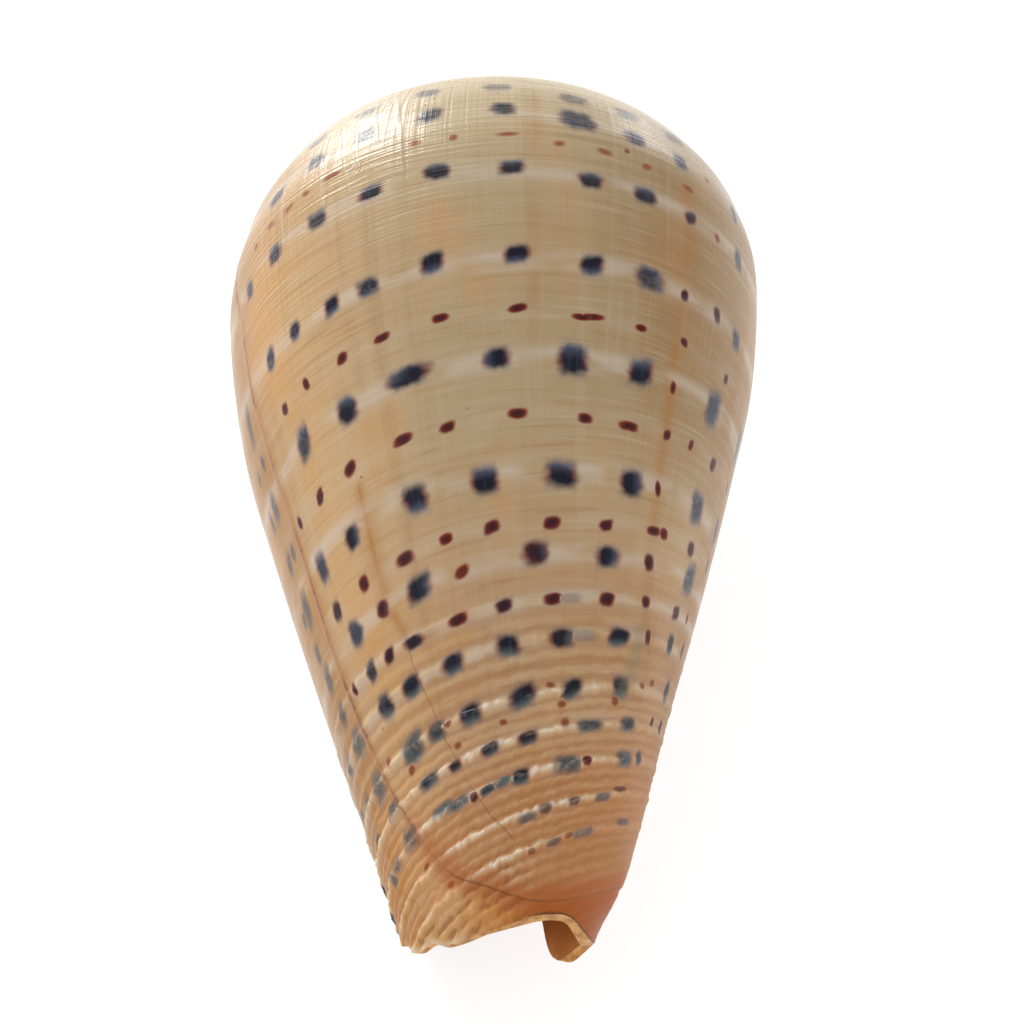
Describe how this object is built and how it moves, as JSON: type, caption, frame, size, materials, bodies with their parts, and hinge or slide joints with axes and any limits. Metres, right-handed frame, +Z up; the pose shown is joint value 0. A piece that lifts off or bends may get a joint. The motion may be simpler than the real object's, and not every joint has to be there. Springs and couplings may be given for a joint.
{
  "type": "cone shell",
  "caption": "Glossy cone-shaped sea shell with a flat coiled spire, a round shoulder, rows of dark spots and fine ribs towards its narrow end, lying on its long slit opening.",
  "frame": {"origin": "middle of the footprint of the lying shell, on the surface it rests on", "axes": "+Z up through the middle of the back, +Y towards the spire along the shell's length, +X to the right seen from the narrow end"},
  "size_m": [0.0692, 0.1118, 0.0637],
  "materials": {
    "shell": "glossy tan shell with rows of blue-black and red-brown spots"
  },
  "bodies": {
    "root": {"shell": "shell"}
  },
  "joints": []
}
